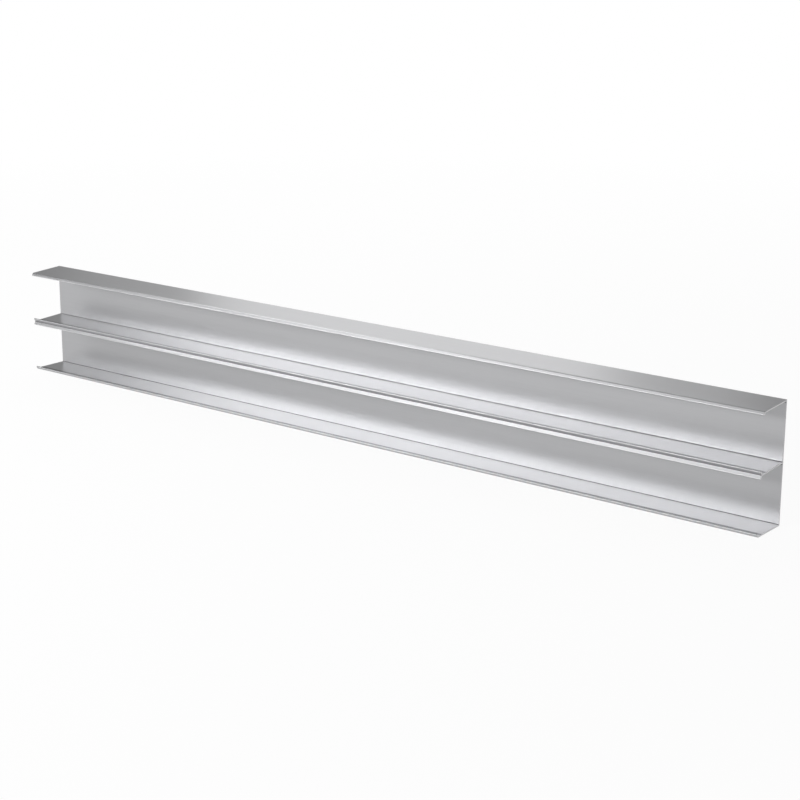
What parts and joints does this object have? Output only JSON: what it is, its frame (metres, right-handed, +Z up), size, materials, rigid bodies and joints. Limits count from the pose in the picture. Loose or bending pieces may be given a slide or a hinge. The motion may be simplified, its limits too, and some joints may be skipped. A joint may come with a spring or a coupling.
{
  "type": "aluminium trunking channel",
  "caption": "Straight length of extruded aluminium channel with stacked open-front compartments, flared lips along the front and a forked middle flange.",
  "frame": {"origin": "middle of the length and of the depth, on the underside of the bottom flange", "axes": "+X along the length, +Y out of the back of the web, +Z up from the bottom flange to the top flange"},
  "size_m": [1.325, 0.06, 0.165],
  "materials": {
    "aluminium": "satin mill finish, drawn along the length"
  },
  "bodies": {
    "root": {"channel_profile": "aluminium"}
  },
  "joints": []
}
